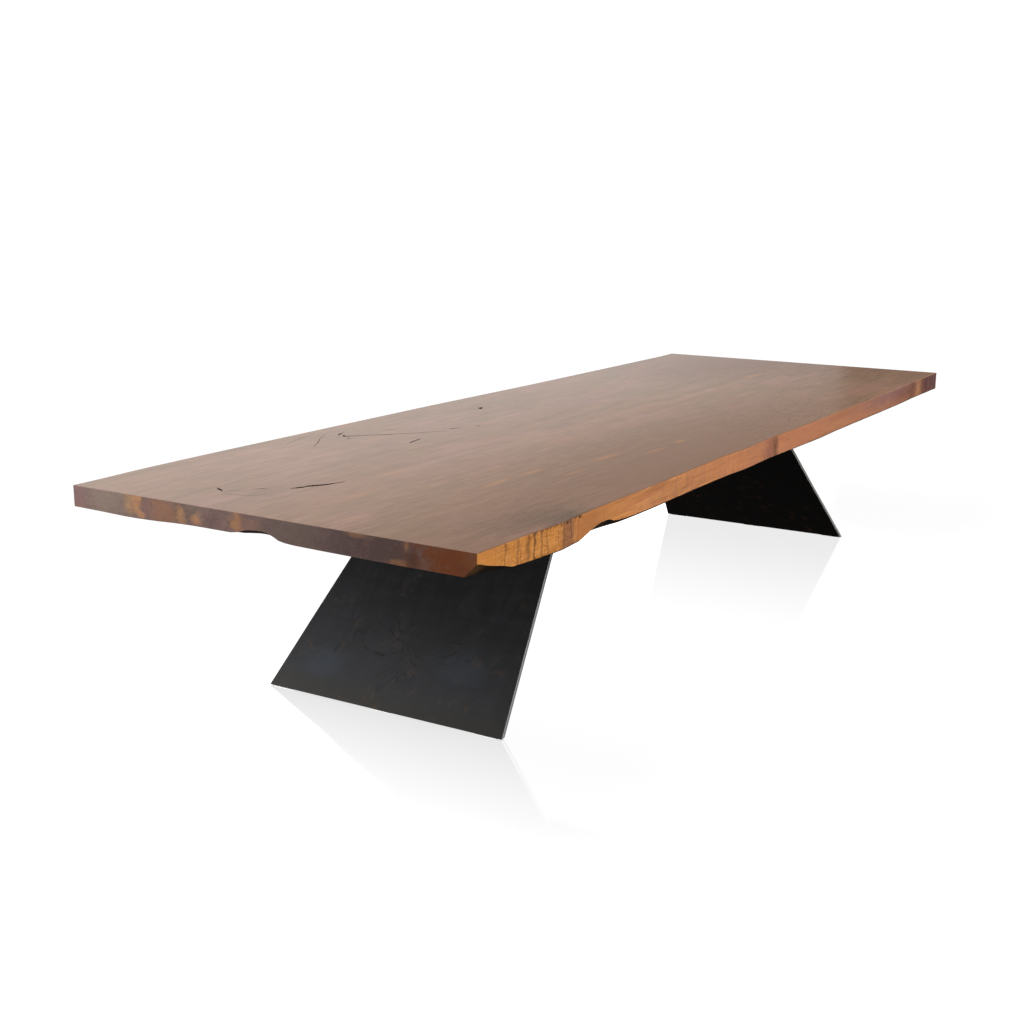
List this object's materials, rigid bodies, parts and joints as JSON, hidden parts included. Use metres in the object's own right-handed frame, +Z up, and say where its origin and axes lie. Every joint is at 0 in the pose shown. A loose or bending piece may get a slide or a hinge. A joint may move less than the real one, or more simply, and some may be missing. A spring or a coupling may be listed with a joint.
{
  "type": "live-edge slab table",
  "caption": "Long live-edge solid wood slab table top on blackened steel plate legs that lean towards the middle and narrow upwards.",
  "frame": {"origin": "on the floor, under the middle of the table", "axes": "+Z up; +X along the slab, its longest side; +Y from the front live edge to the back live edge"},
  "size_m": [4.2392, 1.5037, 0.75],
  "materials": {
    "slab_wood": "sanded and sealed, satin",
    "blackened_steel": "hot-rolled plate, blackened and waxed, satin",
    "zinc_plated_steel": "zinc plated",
    "insert_brass": "machined",
    "clear_nylon": "translucent white"
  },
  "bodies": {
    "root": {"slab_top": "slab_wood", "left_leg_plate": "blackened_steel", "left_mounting_plate": "blackened_steel", "left_gusset_front": "blackened_steel", "left_gusset_back": "blackened_steel", "left_bolt_1": "zinc_plated_steel", "left_washer_1": "zinc_plated_steel", "left_insert_1": "insert_brass", "left_bolt_2": "zinc_plated_steel", "left_washer_2": "zinc_plated_steel", "left_insert_2": "insert_brass", "left_bolt_3": "zinc_plated_steel", "left_washer_3": "zinc_plated_steel", "left_insert_3": "insert_brass", "left_bolt_4": "zinc_plated_steel", "left_washer_4": "zinc_plated_steel", "left_insert_4": "insert_brass", "left_bolt_5": "zinc_plated_steel", "left_washer_5": "zinc_plated_steel", "left_insert_5": "insert_brass", "left_bolt_6": "zinc_plated_steel", "left_washer_6": "zinc_plated_steel", "left_insert_6": "insert_brass", "left_glide_pad_1": "clear_nylon", "left_glide_pad_2": "clear_nylon", "left_glide_pad_3": "clear_nylon", "right_leg_plate": "blackened_steel", "right_mounting_plate": "blackened_steel", "right_gusset_front": "blackened_steel", "right_gusset_back": "blackened_steel", "right_bolt_1": "zinc_plated_steel", "right_washer_1": "zinc_plated_steel", "right_insert_1": "insert_brass", "right_bolt_2": "zinc_plated_steel", "right_washer_2": "zinc_plated_steel", "right_insert_2": "insert_brass", "right_bolt_3": "zinc_plated_steel", "right_washer_3": "zinc_plated_steel", "right_insert_3": "insert_brass", "right_bolt_4": "zinc_plated_steel", "right_washer_4": "zinc_plated_steel", "right_insert_4": "insert_brass", "right_bolt_5": "zinc_plated_steel", "right_washer_5": "zinc_plated_steel", "right_insert_5": "insert_brass", "right_bolt_6": "zinc_plated_steel", "right_washer_6": "zinc_plated_steel", "right_insert_6": "insert_brass", "right_glide_pad_1": "clear_nylon", "right_glide_pad_2": "clear_nylon", "right_glide_pad_3": "clear_nylon"}
  },
  "joints": []
}
